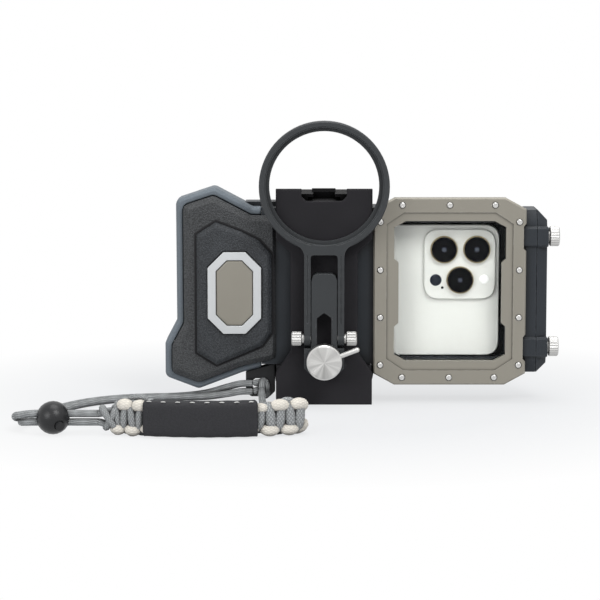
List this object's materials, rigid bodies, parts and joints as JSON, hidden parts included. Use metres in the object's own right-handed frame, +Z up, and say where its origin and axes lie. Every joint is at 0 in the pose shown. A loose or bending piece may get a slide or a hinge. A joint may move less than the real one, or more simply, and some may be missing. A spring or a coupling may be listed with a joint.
{
  "type": "underwater camera housing",
  "caption": "Sealed phone housing for diving with a clamp, an accessory shoe, a swing-over threaded lens ring on a slotted arm, and a wrist lanyard.",
  "frame": {"origin": "middle of the clamp's underside, on the surface that the housing stands on", "axes": "+X right and +Z up as seen from the front; the window faces -Y"},
  "size_m": [0.3052, 0.1537, 0.1634],
  "materials": {
    "shell_plastic": "fine moulded texture",
    "taupe_anodised": "bead-blasted and anodised taupe",
    "taupe_inlay": "brushed taupe",
    "window_glass": "clear, polished",
    "touch_film": "clear soft film",
    "seal_rubber": "matt",
    "grip_rubber": "matt blue-grey",
    "grip_plastic": "stippled",
    "silver_inlay": "satin",
    "black_anodised": "blasted and anodised black",
    "grey_anodised": "anodised dark grey",
    "bright_steel": "turned, radial brushing",
    "phone_back": "matt off-white glass",
    "phone_island": "gloss off-white glass",
    "toggle_plastic": "satin black",
    "cream_weave": "woven cord with cream sides and a grey middle",
    "dark_label": "dense dark webbing",
    "grey_cord": "braided cord"
  },
  "bodies": {
    "housing": {"main_body": "shell_plastic", "window_frame": "taupe_anodised", "window_glass": "window_glass", "window_gasket": "seal_rubber", "touch_membrane": "touch_film", "membrane_gasket": "seal_rubber", "rear_bezel": "shell_plastic", "grip_rim": "grip_rubber", "grip_face": "grip_plastic", "grip_plateau": "grip_plastic", "inlay_rim": "silver_inlay", "inlay_panel": "taupe_inlay", "frame_screw_01": "bright_steel", "frame_screw_02": "bright_steel", "frame_screw_03": "bright_steel", "frame_screw_04": "bright_steel", "frame_screw_05": "bright_steel", "frame_screw_06": "bright_steel", "frame_screw_07": "bright_steel", "frame_screw_08": "bright_steel", "frame_screw_09": "bright_steel", "frame_screw_10": "bright_steel", "frame_screw_11": "bright_steel", "frame_screw_12": "bright_steel", "frame_screw_13": "bright_steel", "frame_screw_14": "bright_steel", "clamp_plate": "black_anodised", "clamp_upper_jaw": "black_anodised", "clamp_lower_jaw": "black_anodised", "clamp_pad_upper": "seal_rubber", "clamp_pad_lower": "seal_rubber", "upper_bolt_left": "bright_steel", "lower_bolt_left": "bright_steel", "upper_bolt_right": "bright_steel", "lower_bolt_right": "bright_steel", "strap_lug": "black_anodised", "pivot_stud": "bright_steel", "pivot_washer": "bright_steel", "bracelet_band": "cream_weave", "label_sleeve": "dark_label", "strand_knot": "grey_cord", "hitch_knot": "grey_cord", "strand_lower": "grey_cord", "strand_upper": "grey_cord", "strand_link": "grey_cord"},
    "knob": {"lock_knob": "bright_steel", "knob_lever": "bright_steel"},
    "guide": {"slot_guide": "bright_steel"},
    "arm": {"arm_tongue": "grey_anodised"},
    "ring": {"lens_ring": "grey_anodised"},
    "left_pivot_screw": {"pivot_screw_left": "bright_steel"},
    "right_pivot_screw": {"pivot_screw_right": "bright_steel"},
    "cap": {"end_cap": "shell_plastic", "cap_seal": "seal_rubber"},
    "upper_cap_screw": {"cap_screw_upper": "bright_steel"},
    "lower_cap_screw": {"cap_screw_lower": "bright_steel"},
    "phone": {"phone_body": "phone_back", "phone_camera_island": "phone_island"},
    "toggle": {"toggle_ball": "toggle_plastic"},
    "button": {"toggle_button": "toggle_plastic"}
  },
  "joints": [
    {"name": "knob_turn", "type": "hinge", "parent": "housing", "child": "knob", "pos_m": [0, -0.041, 0.0275], "axis": [0, 1, 0], "range_deg": [-100, 100]},
    {"name": "arm_swing", "type": "hinge", "parent": "housing", "child": "guide", "pos_m": [0, -0.03, 0.0275], "axis": [0, 1, 0], "range_deg": [-58, 58]},
    {"name": "arm_slide", "type": "slide", "parent": "guide", "child": "arm", "axis": [0, 0, 1], "range_m": [-0.019, 0]},
    {"name": "ring_tilt", "type": "hinge", "parent": "arm", "child": "ring", "pos_m": [0, -0.03, 0.0393], "axis": [1, 0, 0], "range_deg": [0, 90]},
    {"name": "left_pivot_screw_turn", "type": "hinge", "parent": "arm", "child": "left_pivot_screw", "pos_m": [-0.012, -0.03, 0.0393], "axis": [-1, 0, 0], "continuous": true},
    {"name": "right_pivot_screw_turn", "type": "hinge", "parent": "arm", "child": "right_pivot_screw", "pos_m": [0.012, -0.03, 0.0393], "axis": [1, 0, 0], "continuous": true},
    {"name": "cap_slide", "type": "slide", "parent": "housing", "child": "cap", "axis": [1, 0, 0], "range_m": [0, 0.18]},
    {"name": "upper_cap_screw_turn", "type": "hinge", "parent": "cap", "child": "upper_cap_screw", "pos_m": [0.126, -0.0116, 0.0962], "axis": [1, 0, 0], "continuous": true},
    {"name": "lower_cap_screw_turn", "type": "hinge", "parent": "cap", "child": "lower_cap_screw", "pos_m": [0.126, -0.0116, 0.0323], "axis": [1, 0, 0], "continuous": true},
    {"name": "phone_slide", "type": "slide", "parent": "housing", "child": "phone", "axis": [1, 0, 0], "range_m": [0, 0.171]},
    {"name": "toggle_slide", "type": "slide", "parent": "housing", "child": "toggle", "axis": [1, 0, 0], "range_m": [0, 0.014]},
    {"name": "toggle_button_press", "type": "slide", "parent": "toggle", "child": "button", "axis": [0.4556, -0.8219, -0.342], "range_m": [-0.0012, 0], "stiffness_N_per_m": 300}
  ],
  "couplings": [
    {"joint": "phone_slide", "follows": "cap_slide", "ratio": 0.95}
  ]
}
